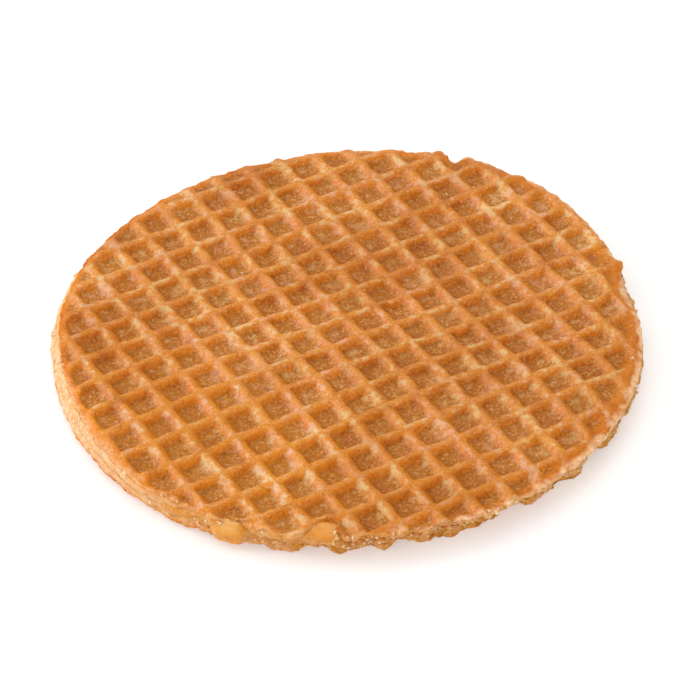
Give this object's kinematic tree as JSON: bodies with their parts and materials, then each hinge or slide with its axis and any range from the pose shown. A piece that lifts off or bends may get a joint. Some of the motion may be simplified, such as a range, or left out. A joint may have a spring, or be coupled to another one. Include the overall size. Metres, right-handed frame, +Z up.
{
  "type": "stroopwafel",
  "caption": "Round, thin waffle biscuit: wafer halves pressed with a square grid of pits on their outer faces, joined by a layer of caramel syrup.",
  "frame": {"origin": "on the surface that the biscuit lies on, under the middle of the whole", "axes": "+Z up through the layers; -Y towards the side of the rim where drops of syrup were squeezed out; +X to the right of that"},
  "size_m": [0.0884, 0.0909, 0.0054],
  "materials": {
    "baked_wafer": "crisp baked waffle dough, golden brown, matte with a slight buttery sheen; pale cream, porous crumb where it was cut round the rim",
    "caramel_syrup": "set caramel syrup, golden amber, glossy and slightly cloudy"
  },
  "bodies": {
    "root": {"wafer_bottom": "baked_wafer", "syrup": "caramel_syrup", "wafer_top": "baked_wafer"}
  },
  "joints": []
}
